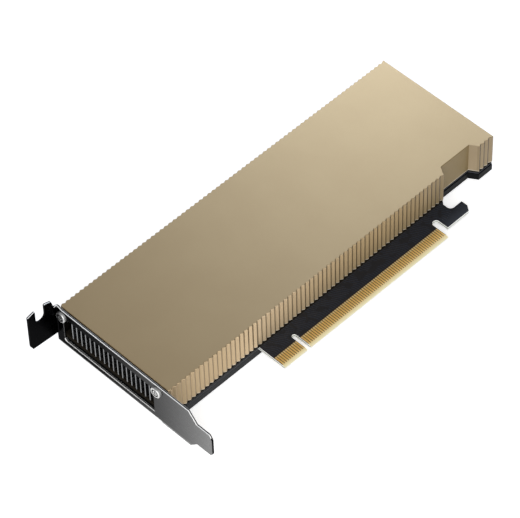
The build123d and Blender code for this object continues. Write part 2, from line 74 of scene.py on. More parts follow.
Colour = tuple[float, float, float]
Place = tuple[float, float, float]
Scale = tuple[float, float, float]
Range = tuple[float, float]
Socket = bpy.types.NodeSocket
Coat = tuple[object, object]

WHITE = (1.0, 1.0, 1.0, 1.0)
# Least upward part of a level face's normal.
LEVEL = 0.99
# Places of the two colours among a Mix node's inputs, and of the blend among its outputs.
MIX_COLOURS = (6, 7)
MIX_BLEND = 2

# Parts of a noise's range that a change of tone or roughness takes up.
CLOUDY: Range = (0.3, 0.7)
FINE: Range = (0.25, 0.75)


class Pick(Enum):
    """What a selection in edit mode is made of."""

    VERT = "VERT"
    FACE = "FACE"


class Head(Enum):
    """Shape of a screw's head."""

    PAN = "pan"
    COUNTERSUNK = "countersunk"


class Side(Enum):
    """Which face of the board a piece lies on."""

    COMPONENT = 1
    BACK = -1


# ---- hand tools ----


def metres(place: Sequence[float]) -> Vector:
    """Turn a place in millimetres into metres."""
    return Vector(place) * MM


def take(piece: bpy.types.Object) -> None:
    """Make one piece the only selected one, and the active one.

    Args:
        piece: The piece to select.
    """
    bpy.ops.object.select_all(action="DESELECT")
    piece.select_set(True)
    bpy.context.view_layer.objects.active = piece


def open_mesh(piece: bpy.types.Object, pick: Pick) -> None:
    """Enter edit mode on a piece with nothing selected.

    Args:
        piece: The piece to edit.
        pick: The kind of element that is selected next.
    """
    take(piece)
    bpy.ops.object.mode_set(mode="EDIT")
    bpy.ops.mesh.select_mode(type=pick.value)
    bpy.ops.mesh.select_all(action="DESELECT")


def close_mesh() -> None:
    """Return to object mode."""
    bpy.ops.object.mode_set(mode="OBJECT")


def choose_faces(piece: bpy.types.Object, test: Callable[[bmesh.types.BMFace], bool]) -> None:
    """Select the faces that pass a test, in edit mode.

    Args:
        piece: The piece being edited.
        test: True for a face that is wanted.
    """
    bpy.ops.mesh.select_mode(type=Pick.FACE.value)
    bpy.ops.mesh.select_all(action="DESELECT")
    shape = bmesh.from_edit_mesh(piece.data)
    for face in [face for face in shape.faces if test(face)]:
        face.select_set(True)
    shape.select_flush_mode()
    bmesh.update_edit_mesh(piece.data)


def is_topside(face: bmesh.types.BMFace) -> bool:
    """Tell whether a face looks straight up."""
    return face.normal.z > LEVEL


def is_underside(face: bmesh.types.BMFace) -> bool:
    """Tell whether a face looks straight down."""
    return face.normal.z < -LEVEL


def extrude(height: float) -> None:
    """Extrude the selected faces along Z, by a height in millimetres."""
    bpy.ops.mesh.extrude_region_move(TRANSFORM_OT_translate={"value": metres((0.0, 0.0, height))})


def freeze(piece: bpy.types.Object) -> None:
    """Put a piece's place, turn and size into its mesh."""
    take(piece)
    bpy.ops.object.transform_apply(location=True, rotation=True, scale=True)


def apply_modifier(piece: bpy.types.Object, kind: str, **values: object) -> None:
    """Add a modifier with the given settings and apply it at once.

    Args:
        piece: The piece that gets it.
        kind: The modifier's type.
        values: Its settings.
    """
    take(piece)
    modifier = piece.modifiers.new(kind.title(), kind)
    for name, value in values.items():
        setattr(modifier, name, value)
    bpy.ops.object.modifier_apply(modifier=modifier.name)


def settle(piece: bpy.types.Object, smooth_degrees: float) -> None:
    """Freeze a finished piece and shade its edges under an angle smooth."""
    freeze(piece)
    bpy.ops.object.shade_smooth_by_angle(angle=math.radians(smooth_degrees))


def join(pieces: Sequence[bpy.types.Object]) -> bpy.types.Object:
    """Join pieces into the first of them.

    Args:
        pieces: The pieces to join.

    Returns:
        The first piece, which holds all the meshes.
    """
    take(pieces[0])
    for piece in pieces:
        piece.select_set(True)
    bpy.ops.object.join()
    return pieces[0]


def twin(piece: bpy.types.Object, shift: Sequence[float]) -> bpy.types.Object:
    """Copy a piece with its own mesh and move the copy.

    Args:
        piece: The piece to copy.
        shift: How far the copy is moved, in millimetres.

    Returns:
        The copy.
    """
    take(piece)
    bpy.ops.object.duplicate(linked=False)
    copy = bpy.context.view_layer.objects.active
    copy.location = copy.location + metres(shift)
    return copy


# ---- finishes ----


class Palette:
    """A material's node tree, with short calls to add and link its nodes."""

    def __init__(self, name: str) -> None:
        """Start an empty material with a shader and an output.

        Args:
            name: The material's name.
        """
        self.material = bpy.data.materials.new(name)
        self.material.use_nodes = True
        self.tree = self.material.node_tree
        self.tree.nodes.clear()
        self.shader = self.add("ShaderNodeBsdfPrincipled")
        output = self.add("ShaderNodeOutputMaterial")
        self.link(self.shader.outputs["BSDF"], output.inputs["Surface"])
        self.place = self.add("ShaderNodeTexCoord").outputs["Object"]

    def add(self, kind: str, **values: object) -> bpy.types.Node:
        """Add a node.

        Args:
            kind: The node's type.
            values: Its properties.

        Returns:
            The node.
        """
        node = self.tree.nodes.new(kind)
        for name, value in values.items():
            setattr(node, name, value)
        return node

    def link(self, source: object, target: object) -> None:
        """Link an output to an input."""
        self.tree.links.new(source, target)

    def feed(self, node: bpy.types.Node, index: int, value: object) -> None:
        """Give an input a socket to read or a fixed value.

        Args:
            node: The node with the input.
            index: The input's place.
            value: Socket or fixed value.
        """
        if isinstance(value, Socket):
            self.link(value, node.inputs[index])
        else:
            node.inputs[index].default_value = value

    def math(self, operation: str, *values: object) -> Socket:
        """Work out one number from others.

        Args:
            operation: The Math node's operation.
            values: Sockets or numbers, in order.

        Returns:
            The result's socket.
        """
        node = self.add("ShaderNodeMath", operation=operation)
        for index, value in enumerate(values):
            self.feed(node, index, value)
        return node.outputs[0]

    def times(self, *values: object) -> Socket:
        """Multiply two or more masks or numbers.

        Args:
            values: Sockets or numbers, in order.

        Returns:
            The product's socket.
        """
        product, *others = values
        for value in others:
            product = self.math("MULTIPLY", product, value)
        return product

    def above(self, value: object, limit: float) -> Socket:
        """Give 1 where a value lies above a limit, and 0 elsewhere."""
        return self.math("GREATER_THAN", value, limit)

    def below(self, value: object, limit: float) -> Socket:
        """Give 1 where a value lies below a limit, and 0 elsewhere."""
        return self.math("LESS_THAN", value, limit)

    def rest(self, mask: object) -> Socket:
        """Give what a mask leaves over: 1 less the mask."""
        return self.math("SUBTRACT", 1.0, mask)

    def noise(self, scale: float, detail: float = 2.0, source: Socket | None = None) -> Socket:
        """Give a noise value.

        Args:
            scale: Features per metre.
            detail: Finer layers of noise on top.
            source: Place to read, or nothing for the plain place.

        Returns:
            The noise's socket.
        """
        node = self.add("ShaderNodeTexNoise")
        self.link(source or self.place, node.inputs["Vector"])
        node.inputs["Scale"].default_value = scale
        node.inputs["Detail"].default_value = detail
        return node.outputs["Fac"]

    def stretched(self, scale: Sequence[float]) -> Socket:
        """Give a place that draws a noise out into brushed grain.

        Args:
            scale: Factors on X, Y and Z, where a small one draws the noise out.

        Returns:
            The place's socket.
        """
        node = self.add("ShaderNodeMapping")
        self.link(self.place, node.inputs["Vector"])
        node.inputs["Scale"].default_value = scale
        return node.outputs["Vector"]

    def blend(self, amount: object, low: object, high: object) -> Socket:
        """Blend two colours, each a socket or three numbers.

        Args:
            amount: 0 for the first colour, 1 for the second.
            low: The first colour.
            high: The second colour.

        Returns:
            The blend's socket.
        """
        node = self.add("ShaderNodeMix", data_type="RGBA")
        self.feed(node, 0, amount)
        for index, value in zip(MIX_COLOURS, (low, high)):
            self.feed(node, index, value if isinstance(value, Socket) else (*value, 1.0))
        return node.outputs[MIX_BLEND]

    def layers(self, colour: object, coats: Iterable[Coat]) -> Socket:
        """Lay colours over a first one.

        Args:
            colour: The first colour, a socket or three numbers.
            coats: Pairs of a mask and a colour, from the first to the last.

        Returns:
            The finished colour's socket.
        """
        for mask, coat in coats:
            colour = self.blend(mask, colour, coat)
        return colour

    def mottle(self, cloud: object, tone: Colour, shade: Colour) -> Socket:
        """Blend two close tones by a cloudy noise."""
        return self.blend(self.ramp(cloud, *CLOUDY), tone, shade)

    def ramp(
        self, value: object, start: float, end: float, low: float = 0.0, high: float = 1.0
    ) -> Socket:
        """Map a range of a value smoothly onto another, clamped at both ends.

        Args:
            value: The value to map.
            start: Where the range starts.
            end: Where it ends.
            low: Result at the start.
            high: Result at the end.

        Returns:
            The result's socket.
        """
        node = self.add("ShaderNodeMapRange", interpolation_type="SMOOTHSTEP")
        for index, item in enumerate((value, start, end, low, high)):
            self.feed(node, index, item)
        return node.outputs[0]

    def share(self, value: object, start: float, end: float) -> Socket:
        """Give how far a value has gone from start to end, in a straight line from 0 to 1.

        Args:
            value: The value to follow.
            start: Where the share is 0.
            end: Where the share is 1.

        Returns:
            The share's socket.
        """
        node = self.add("ShaderNodeMapRange", interpolation_type="LINEAR")
        for index, item in enumerate((value, start, end)):
            self.feed(node, index, item)
        return node.outputs[0]

    def span(self, value: object, low: float, high: float) -> Socket:
        """Give 1 where a value lies between two limits, and 0 elsewhere."""
        return self.times(self.above(value, low), self.below(value, high))

    def axes(self) -> tuple[Socket, Socket, Socket]:
        """Give the place in millimetres.

        Returns:
            Its X, Y and Z.
        """
        split = self.add("ShaderNodeSeparateXYZ")
        self.link(self.place, split.inputs[0])
        return tuple(self.times(split.outputs[index], 1 / MM) for index in range(3))

    def facing(self) -> tuple[Socket, Socket, Socket]:
        """Give the direction that the surface faces.

        Returns:
            Its X, Y and Z parts.
        """
        split = self.add("ShaderNodeSeparateXYZ")
        self.link(self.add("ShaderNodeTexCoord").outputs["Normal"], split.inputs[0])
        return tuple(split.outputs[index] for index in range(3))

    def steepness(self) -> Socket:
        """Give how upright the surface stands: 0 where it lies flat, 1 on an edge."""
        return self.rest(self.math("ABSOLUTE", self.facing()[2]))

    def relief(self, height: object, depth_mm: float) -> None:
        """Raise the surface a little.

        Args:
            height: Socket with a height from 0 to 1.
            depth_mm: What a height of 1 stands for.
        """
        node = self.add("ShaderNodeBump")
        node.inputs["Strength"].default_value = 1.0
        node.inputs["Distance"].default_value = depth_mm * MM
        self.link(height, node.inputs["Height"])
        self.drive("Normal", node.outputs["Normal"])

    def drive(self, name: str, value: Socket) -> None:
        """Link a socket to one of the shader's inputs."""
        self.link(value, self.shader.inputs[name])

    def paint(self, colour: object, roughness: object, **fixed: object) -> bpy.types.Material:
        """Finish the shader.

        Args:
            colour: Socket with the base colour.
            roughness: Socket with the roughness.
            fixed: Shader values that are the same all over, by name with underscores.

        Returns:
            The finished material.
        """
        self.drive("Base Color", colour)
        self.drive("Roughness", roughness)
        for name, value in fixed.items():
            self.shader.inputs[name.replace("_", " ").title().replace("Ior", "IOR")].default_value = value
        return self.material


class Look(Protocol):
    """Anything that can build a material."""

    def material(self) -> bpy.types.Material:
        """Build the material."""


@dataclass(frozen=True)
class Finish:
    """A plain finish: two close tones, a grain, and a fine relief."""

    name: str
    tone: Colour
    shade: Colour
    metallic: float = 0.0
    smooth: float = 0.35
    rough: float = 0.55
    grain: float = 900.0
    stretch: Scale = (1.0, 1.0, 1.0)
    relief_mm: float = 0.01
    grains_per_cloud: float = 8.0

    def material(self) -> bpy.types.Material:
        """Build the finish's material.

        Returns:
            The material.
        """
        palette = Palette(self.name)
        source = palette.stretched(self.stretch)
        cloud = palette.noise(self.grain / self.grains_per_cloud, detail=3.0, source=source)
        fine = palette.noise(self.grain, source=source)
        palette.relief(fine, self.relief_mm)
        roughness = palette.ramp(fine, *FINE, self.smooth, self.rough)
        return palette.paint(palette.mottle(cloud, self.tone, self.shade), roughness, metallic=self.metallic)


@dataclass(frozen=True)
class BlastedAnodising:
    """Champagne anodised aluminium, blasted to a fine even satin, with painted shade inside the channel.

    The ribs of the low side wall carry painted light that peaks a little past the bracket and grows darker
    toward the far end; the latch notch, the recess above it and the slope beyond it carry painted shade,
    the wall's foot a painted highlight, and the ribs' far flanks painted shade.
    """

    name: str = "champagne_anodising"
    tone: Colour = (0.470, 0.350, 0.196)
    shade: Colour = (0.458, 0.339, 0.189)
    # Painted light along the low side wall's ribs: brightest a little past the bracket, darker toward the far
    # end.
    near_rib_painted_light: Colour = (0.48, 0.363, 0.218)
    mid_rib_painted_light: Colour = (0.57, 0.44, 0.28)
    far_rib_painted_shade: Colour = (0.375, 0.275, 0.147)
    # Painted shade on the latch notch, the recess above it and the slope beyond it.
    notch_painted_shade: Colour = (0.27, 0.202, 0.112)
    recess_painted_shade: Colour = (0.20, 0.138, 0.048)
    slope_painted_shade: Colour = (0.33, 0.25, 0.148)
    # Painted highlight along the wall's foot.
    foot_painted_highlight: Colour = (0.80, 0.74, 0.62)
    # Painted shade on the ribs' far flanks.
    flank_painted_shade: Colour = (0.055, 0.035, 0.016)
    # Painted shade inside the channel, where the inner walls lie in shadow.
    inside: Colour = (0.012, 0.010, 0.008)
    side_facing: Range = (0.3, 0.5)
    rib_x: Range = (-28.0, -8.0)
    far_rib_x: Range = (-14.0, 42.0)
    notch_x: Range = (55.0, 86.0)
    recess_y: float = 16.0
    slope_y: Range = (14.2, 24.0)
    slope_facing: float = -0.3
    foot_z: Range = (0.225, 0.45)
    foot_share: float = 0.6
    flank_x: Range = (-70.0, 20.0)
    flank_facing: Range = (0.1, 0.3)
    flank_share: float = 0.85
    inside_y: Range = (17.6, 67.6)
    inside_top_z: float = 12.6
    board_x: Range = (-13.5, -10.5)
    metal: float = 0.85
    side_metal_drop: float = 0.65
    cloud: float = 60.0
    bead: float = 5200.0
    bead_range: Range = (0.2, 0.8)
    relief_mm: float = 0.004
    rough: Range = (0.40, 0.50)

    def coats(self, palette: Palette, side: Socket) -> tuple[Coat, ...]:
        """List the painted light, shade and highlights that lie over the plain top, from the first to the
        last.

        Args:
            palette: The material being built.
            side: Mask of the low side wall.

        Returns:
            Pairs of a mask and a colour.
        """
        across, along, height = palette.axes()
        facing_x = palette.facing()[0]
        # Painted light along the ribs, brightest a little past the bracket and darker toward the far end.
        near = palette.blend(palette.share(across, *self.rib_x), self.near_rib_painted_light, self.mid_rib_painted_light)
        ribs = palette.blend(palette.share(across, *self.far_rib_x), near, self.far_rib_painted_shade)
        beyond = palette.times(palette.above(across, self.notch_x[1]), palette.span(along, *self.slope_y))
        # Painted highlight at the wall's foot, then painted shade on the far flanks and inside the channel.
        foot = palette.ramp(height, *self.foot_z, self.foot_share, 0.0)
        flank_shade = palette.ramp(facing_x, *self.flank_facing, 0.0, self.flank_share)
        channel = palette.times(palette.span(along, *self.inside_y), palette.below(height, self.inside_top_z))
        return (
            (side, ribs),
            # Painted shade on the notch, the recess above it and the slope beyond it.
            (palette.times(side, palette.share(across, *self.notch_x)), self.notch_painted_shade),
            (palette.times(side, palette.above(along, self.recess_y)), self.recess_painted_shade),
            (palette.times(beyond, palette.below(facing_x, self.slope_facing)), self.slope_painted_shade),
            (palette.times(side, foot), self.foot_painted_highlight),
            (palette.times(side, flank_shade, palette.share(across, *self.flank_x)), self.flank_painted_shade),
            (channel, self.inside),
        )

    def material(self) -> bpy.types.Material:
        """Build the finish's material.

        Returns:
            The material.
        """
        palette = Palette(self.name)
        across = palette.axes()[0]
        side = palette.ramp(palette.times(palette.facing()[1], -1.0), *self.side_facing)
        top = palette.mottle(palette.noise(self.cloud, detail=3.0), self.tone, self.shade)
        bead = palette.noise(self.bead, detail=3.0)
        palette.relief(bead, self.relief_mm)
        drop = palette.times(side, palette.share(across, *self.board_x), self.side_metal_drop)
        palette.drive("Metallic", palette.math("SUBTRACT", self.metal, drop))
        colour = palette.layers(top, self.coats(palette, side))
        return palette.paint(colour, palette.ramp(bead, *self.bead_range, *self.rough))


@dataclass(frozen=True)
class BlackNickel:
    """Dark plated sheet with a painted reflection from deep black at the tab to grey down the tongue, painted
    rim highlights and a painted grey band along the lower edge.
    """

    name: str = "black_nickel"
    deep: Colour = (0.0055, 0.0055, 0.006)
    # Painted reflection: the faces go from deep black at the tab to this grey down the tongue.
    grey: Colour = (0.262, 0.262, 0.262)
    # Painted highlight along the cut edges, laid without metal.
    rim: Colour = (0.95, 0.95, 0.94)
    # Painted grey band along the plate's lower edge, standing in for the soft shadow there.
    foot: Colour = (0.30, 0.30, 0.30)
    tint: Colour = (0.5, 0.5, 0.5)
    fade_y: Range = (66.0, -7.0)
    steepening: float = 2.6
    face_x: float = -56.57
    back_x: float = -55.71
    rim_width: float = 0.38
    back_share: float = 0.55
    sideways: float = 0.5
    upward: float = 0.3
    tab_face_y: float = 69.34
    tab_round: float = 0.08
    slot_x: Range = (-67.0, -61.2)
    slot_top_z: float = 17.9
    window_end_y: Range = (60.0, 68.34)
    window_end_facing: float = -0.7
    window_end_share: float = 0.30
    foot_z: Range = (-4.60, -4.40)
    foot_share: float = 0.8
    grain: float = 700.0
    drawing: Scale = (1.0, 0.15, 1.0)
    relief_mm: float = 0.002
    rough: Range = (0.24, 0.34)

    def rim_highlights(self, palette: Palette) -> Socket:
        """Give 1 where painted highlights lie along the front and back edges of the sheet's upper cut faces.

        Args:
            palette: The material being built.

        Returns:
            The painted highlights' socket.
        """
        across, along, height = palette.axes()
        _, side, up = palette.facing()
        front = palette.below(across, self.face_x + self.rim_width)
        back = palette.times(palette.above(across, self.back_x - self.rim_width / 3), self.back_share)
        tab = palette.below(across, self.face_x - self.rim_width)
        plate_rim_highlight = palette.times(palette.math("MAXIMUM", front, back), palette.rest(tab))
        in_slot = palette.times(palette.span(across, *self.slot_x), palette.below(height, self.slot_top_z))
        tab_low = self.tab_face_y + self.tab_round
        on_tab = palette.times(tab, palette.rest(in_slot))
        tab_rim_highlight = palette.times(on_tab, palette.span(along, tab_low, tab_low + self.rim_width))
        rim = palette.times(palette.math("MAXIMUM", plate_rim_highlight, tab_rim_highlight), palette.above(up, self.upward))
        end = palette.times(palette.below(side, self.window_end_facing), front, self.window_end_share)
        return palette.math("MAXIMUM", rim, palette.times(end, palette.span(along, *self.window_end_y)))

    def material(self) -> bpy.types.Material:
        """Build the finish's material.

        Returns:
            The material.
        """
        palette = Palette(self.name)
        _, along, height = palette.axes()
        on_face = palette.above(palette.math("ABSOLUTE", palette.facing()[0]), self.sideways)
        # Painted reflection, growing toward the tongue.
        reflection_fade = palette.math("POWER", palette.share(along, *self.fade_y), self.steepening)
        # Painted grey band at the plate's lower edge.
        foot = palette.ramp(height, *self.foot_z, self.foot_share, 0.0)
        # Painted highlights along the cut edges, with the metal taken off there.
        rim_highlights = self.rim_highlights(palette)
        coats = (
            (palette.times(reflection_fade, on_face), self.grey),
            (palette.times(on_face, foot), self.foot),
            (rim_highlights, self.rim),
        )
        drawn = palette.noise(self.grain, source=palette.stretched(self.drawing))
        palette.relief(drawn, self.relief_mm)
        palette.drive("Metallic", palette.rest(rim_highlights))
        roughness = palette.ramp(drawn, *CLOUDY, *self.rough)
        return palette.paint(palette.layers(self.deep, coats), roughness, specular_tint=(*self.tint, 1.0))


@dataclass(frozen=True)
class MaskedBoard:
    """Black solder mask over laminate, with pale cut edges, faint traces above the contacts, a painted
    highlight on the bevel, and painted shade at the ribs' feet and under the bracket.
    """

    name: str = "solder_mask"
    mask: Colour = (0.0105, 0.0125, 0.018)
    trace: Colour = (0.020, 0.027, 0.045)
    laminate: Colour = (0.16, 0.08, 0.02)
    # Bevel tones: the laminate's colour on the bevel, brightened into a painted highlight.
    bevel: Colour = (1.0, 0.89, 0.56)
    bevel_top: Colour = (0.95, 0.76, 0.36)
    edge: Colour = (0.92, 0.93, 0.90)
    seam: Colour = (0.20, 0.24, 0.20)
    # Painted shade where the cover's ribs meet the board and under the bracket.
    painted_contact_shade: Colour = (0.018, 0.015, 0.011)
    pitch: float = 1.0
    trace_y: Range = (6.2, 13.4)
    trace_half_width: float = 0.16
    fan_y: Range = (7.0, 13.0)
    fan_shift: float = 2.6
    gap_noise: float = 260.0
    gap_level: float = 0.43
    band_x: Range = (-12.2, 72.2)
    band_top_y: float = 5.75
    bevel_y: Range = (0.5, 1.40)
    bevel_end_y: Range = (1.30, 1.50)
    upright: float = 0.5
    cut_edge_top_y: float = 13.66
    seam_z: Range = (-0.95, -0.62)
    seam_foot_y: float = 0.35
    contact_shade_start_y: float = 13.05
    contact_shade_low_z: float = -0.80
    end_x: float = -55.2
    gloss: float = 0.35
    grain: float = 2500.0
    grain_share: float = 0.15
    relief_mm: float = 0.03
    rough: Range = (0.36, 0.48)

    def traces(self, palette: Palette) -> Socket:
        """Give 1 on the broken lines that run up from the contacts and drift sideways.

        Args:
            palette: The material being built.

        Returns:
            The traces' socket.
        """
        across, along, _ = palette.axes()
        drift = palette.times(palette.ramp(along, *self.fan_y), self.fan_shift)
        lane = palette.math("FRACT", palette.math("DIVIDE", palette.math("ADD", across, drift), self.pitch))
        off_line = palette.math("ABSOLUTE", palette.math("SUBTRACT", lane, 0.5))
        line = palette.below(off_line, self.trace_half_width)
        unbroken = palette.above(palette.noise(self.gap_noise, detail=1.0), self.gap_level)
        return palette.times(line, palette.span(along, *self.trace_y), unbroken)

    def material(self) -> bpy.types.Material:
        """Build the finish's material.

        Returns:
            The material.
        """
        palette = Palette(self.name)
        across, along, height = palette.axes()
        line = self.traces(palette)
        tab = palette.span(across, *self.band_x)
        # Bevel with its painted highlight.
        bevel = palette.blend(palette.share(along, *self.bevel_y), self.bevel, self.bevel_top)
        seam = palette.times(palette.span(height, *self.seam_z), palette.above(along, self.seam_foot_y))
        cut = palette.times(
            palette.above(palette.steepness(), self.upright), palette.below(along, self.cut_edge_top_y)
        )
        # Painted shade at the ribs' feet and under the bracket, with the gloss taken out there too.
        under = palette.times(
            palette.above(along, self.contact_shade_start_y), palette.above(height, self.contact_shade_low_z)
        )
        painted_contact_shade = palette.math("MAXIMUM", under, palette.below(across, self.end_x))
        coats = (
            (line, self.trace),
            (palette.times(tab, palette.below(along, self.band_top_y)), self.laminate),
            (palette.times(tab, palette.ramp(along, *self.bevel_end_y, 1.0, 0.0)), bevel),
            (cut, palette.blend(seam, self.edge, self.seam)),
            (painted_contact_shade, self.painted_contact_shade),
        )
        grain = palette.noise(self.grain)
        palette.relief(palette.math("ADD", line, palette.times(grain, self.grain_share)), self.relief_mm)
        palette.drive("Specular IOR Level", palette.times(palette.rest(painted_contact_shade), self.gloss))
        roughness = palette.ramp(grain, *CLOUDY, *self.rough)
        return palette.paint(palette.layers(self.mask, coats), roughness, metallic=0.0)


@dataclass(frozen=True)
class HardGold:
    """Hard gold plating, with a painted highlight at the contact's foot, and paler toward its upper end."""

    name: str = "hard_gold"
    tone: Colour = (0.95, 0.62, 0.195)
    # Painted highlight at the contact's foot.
    foot_painted_highlight: Colour = (0.99, 0.74, 0.32)
    top_tone: Colour = (0.92, 0.76, 0.42)
    foot_y: Range = (1.5, 2.3)
    top_y: Range = (4.5, 5.3)
    top_share: float = 0.8
    grain: float = 1800.0
    rolling: Scale = (1.0, 0.2, 1.0)
    relief_mm: float = 0.003
    metal: float = 0.6
    rough: Range = (0.36, 0.46)

    def material(self) -> bpy.types.Material:
        """Build the finish's material.

        Returns:
            The material.
        """
        palette = Palette(self.name)
        along = palette.axes()[1]
        grain = palette.noise(self.grain, source=palette.stretched(self.rolling))
        coats = (
            (palette.ramp(along, *self.foot_y, 1.0, 0.0), self.foot_painted_highlight),
            (palette.ramp(along, *self.top_y, 0.0, self.top_share), self.top_tone),
        )
        palette.relief(grain, self.relief_mm)
        roughness = palette.ramp(grain, *CLOUDY, *self.rough)
        return palette.paint(palette.layers(self.tone, coats), roughness, metallic=self.metal)


@dataclass(frozen=True)
class DarkAnodising:
    """Black anodised aluminium, with painted shade toward the far end and under the bracket, and painted
    light on the narrow rim beside the board.
    """

    name: str = "dark_anodising"
    tone: Colour = (0.031, 0.033, 0.036)
    shade: Colour = (0.026, 0.028, 0.031)
    # Painted shade toward the far end.
    far: Colour = (0.007, 0.0075, 0.008)
    # Painted light on the narrow rim beside the board, which lies in shade under the cover's edge; it is laid
    # without metal.
    rim: Colour = (0.12, 0.122, 0.125)
    # Painted shade under the bracket.
    painted_contact_shade: Colour = (0.002, 0.002, 0.002)
    tint: Colour = (0.8, 0.8, 0.8)
    far_x: Range = (-60.0, 60.0)
    rim_y: float = 13.75
    upward: float = 0.35
    end_x: float = -55.2
    cloud: float = 400.0
    grain: float = 3200.0
    relief_mm: float = 0.01
    rough: Range = (0.38, 0.50)

    def material(self) -> bpy.types.Material:
        """Build the finish's material.

        Returns:
            The material.
        """
        palette = Palette(self.name)
        across, along, _ = palette.axes()
        fine = palette.noise(self.grain)
        plain = palette.mottle(palette.noise(self.cloud, detail=3.0), self.tone, self.shade)
        upward = palette.above(palette.facing()[2], self.upward)
        # Painted light on the rim beside the board.
        rim = palette.times(upward, palette.below(along, self.rim_y), palette.below(across, self.far_x[1]))
        coats = (
            (palette.share(across, *self.far_x), self.far),
            (rim, self.rim),
            (palette.below(across, self.end_x), self.painted_contact_shade),
        )
        palette.relief(fine, self.relief_mm)
        palette.drive("Metallic", palette.rest(rim))
        roughness = palette.ramp(fine, *FINE, *self.rough)
        return palette.paint(palette.layers(plain, coats), roughness, specular_tint=(*self.tint, 1.0))


@dataclass(frozen=True)
class PanNickel:
    """Nickel plating of the bracket's pan heads, with painted shade in the ring groove and the recess."""

    middle_y: float
    half_step: float
    height: float
    name: str = "screw_nickel"
    tone: Colour = (0.66, 0.66, 0.65)
    # Painted shade in the ring groove and the cross recess.
    painted_groove_shade: Colour = (0.02, 0.02, 0.02)
    groove_radius: Range = (1.15, 1.60)
    recess_radius: float = 1.0
    recess_x: float = -57.68
    grain: float = 900.0
    relief_mm: float = 0.003
    rough: Range = (0.38, 0.48)

    def material(self) -> bpy.types.Material:
        """Build the finish's material.

        Returns:
            The material.
        """
        palette = Palette(self.name)
        across, along, height = palette.axes()
        off_middle = palette.math("ABSOLUTE", palette.math("SUBTRACT", along, self.middle_y))
        off_y = palette.math("SUBTRACT", off_middle, self.half_step)
        off_z = palette.math("SUBTRACT", height, self.height)
        squares = [palette.math("POWER", offset, 2.0) for offset in (off_y, off_z)]
        radius = palette.math("SQRT", palette.math("ADD", *squares))
        groove = palette.span(radius, *self.groove_radius)
        recess = palette.times(
            palette.below(radius, self.recess_radius), palette.above(across, self.recess_x)
        )
        # Painted shade in the groove and the recess.
        colour = palette.blend(palette.math("MAXIMUM", groove, recess), self.tone, self.painted_groove_shade)
        fine = palette.noise(self.grain)
        palette.relief(fine, self.relief_mm)
        return palette.paint(colour, palette.ramp(fine, *FINE, *self.rough), metallic=1.0)


@dataclass(frozen=True)
class ShadowFloor:
    """White floor that shows a soft shadow and stays white for the camera."""

    name: str = "white_floor"
    tone: float = 0.93
    shade: float = 0.925
    lift: float = 0.62
    cloud: float = 3.0
    rough: Range = (0.9, 1.0)

    def material(self) -> bpy.types.Material:
        """Build the floor's material.

        Returns:
            The material.
        """
        palette = Palette(self.name)
        cloud = palette.noise(self.cloud, detail=1.0)
        rays = palette.add("ShaderNodeLightPath")
        seen = palette.math("MAXIMUM", rays.outputs["Is Camera Ray"], rays.outputs["Is Glossy Ray"])
        seen = palette.math("MAXIMUM", seen, rays.outputs["Is Transmission Ray"])
        palette.drive("Emission Strength", palette.times(seen, self.lift))
        return palette.paint(
            palette.blend(cloud, (self.tone,) * 3, (self.shade,) * 3),
            palette.ramp(cloud, 0.0, 1.0, *self.rough),
            metallic=0.0,
            emission_color=WHITE,
            specular_ior_level=0.0,
        )


# ---- pieces ----


def ride(
    piece: bpy.types.Object, name: str, material: bpy.types.Material, nodes: Iterable[str]
) -> None:
    """Name and dress a finished piece, and fasten it to the card.

    Args:
        piece: The finished piece.
        name: Its name.
        material: Its material.
        nodes: The frame's nodes that it stands for.
    """
    piece.name = name
    piece.data.name = name
    piece.data.materials.clear()
    piece.data.materials.append(material)
    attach(piece, BODY)
    for node in nodes:
        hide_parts(node)
    LOG.info("%s: %d faces", name, len(piece.data.polygons))


@dataclass
class SoftenedPart:
    """A rigid part with the frame's shape and slightly rounded edges."""

    node: str
    name: str
    slot: str
    finish: Look
    edge_mm: float = 0.10
    steps: int = 2
    merge_mm: float = 0.002
    flat_degrees: float = 1.0
    sharp_degrees: float = 25.0
    smooth_degrees: float = 40.0

    def build(self, frame: dict) -> None:
        """Copy the frame's mesh, merge it, round its edges and dress it.

        Args:
            frame: What the frame's load gave.
        """
        source = frame["nodes"][self.node]
        piece = bpy.data.objects.new(self.name, source.data.copy())
        bpy.context.scene.collection.objects.link(piece)
        open_mesh(piece, Pick.VERT)
        bpy.ops.mesh.select_all(action="SELECT")
        bpy.ops.mesh.remove_doubles(threshold=self.merge_mm * MM)
        bpy.ops.mesh.dissolve_limited(angle_limit=math.radians(self.flat_degrees))
        close_mesh()
        stored = piece.data.attributes.get("custom_normal")
        if stored:
            piece.data.attributes.remove(stored)
        apply_modifier(
            piece,
            "BEVEL",
            width=self.edge_mm * MM,
            segments=self.steps,
            limit_method="ANGLE",
            angle_limit=math.radians(self.sharp_degrees),
            use_clamp_overlap=True,
            miter_outer="MITER_ARC",
        )
        settle(piece, self.smooth_degrees)
        apply_modifier(piece, "WEIGHTED_NORMAL", keep_sharp=True)
        ride(piece, self.name, self.finish.material(), [self.node])


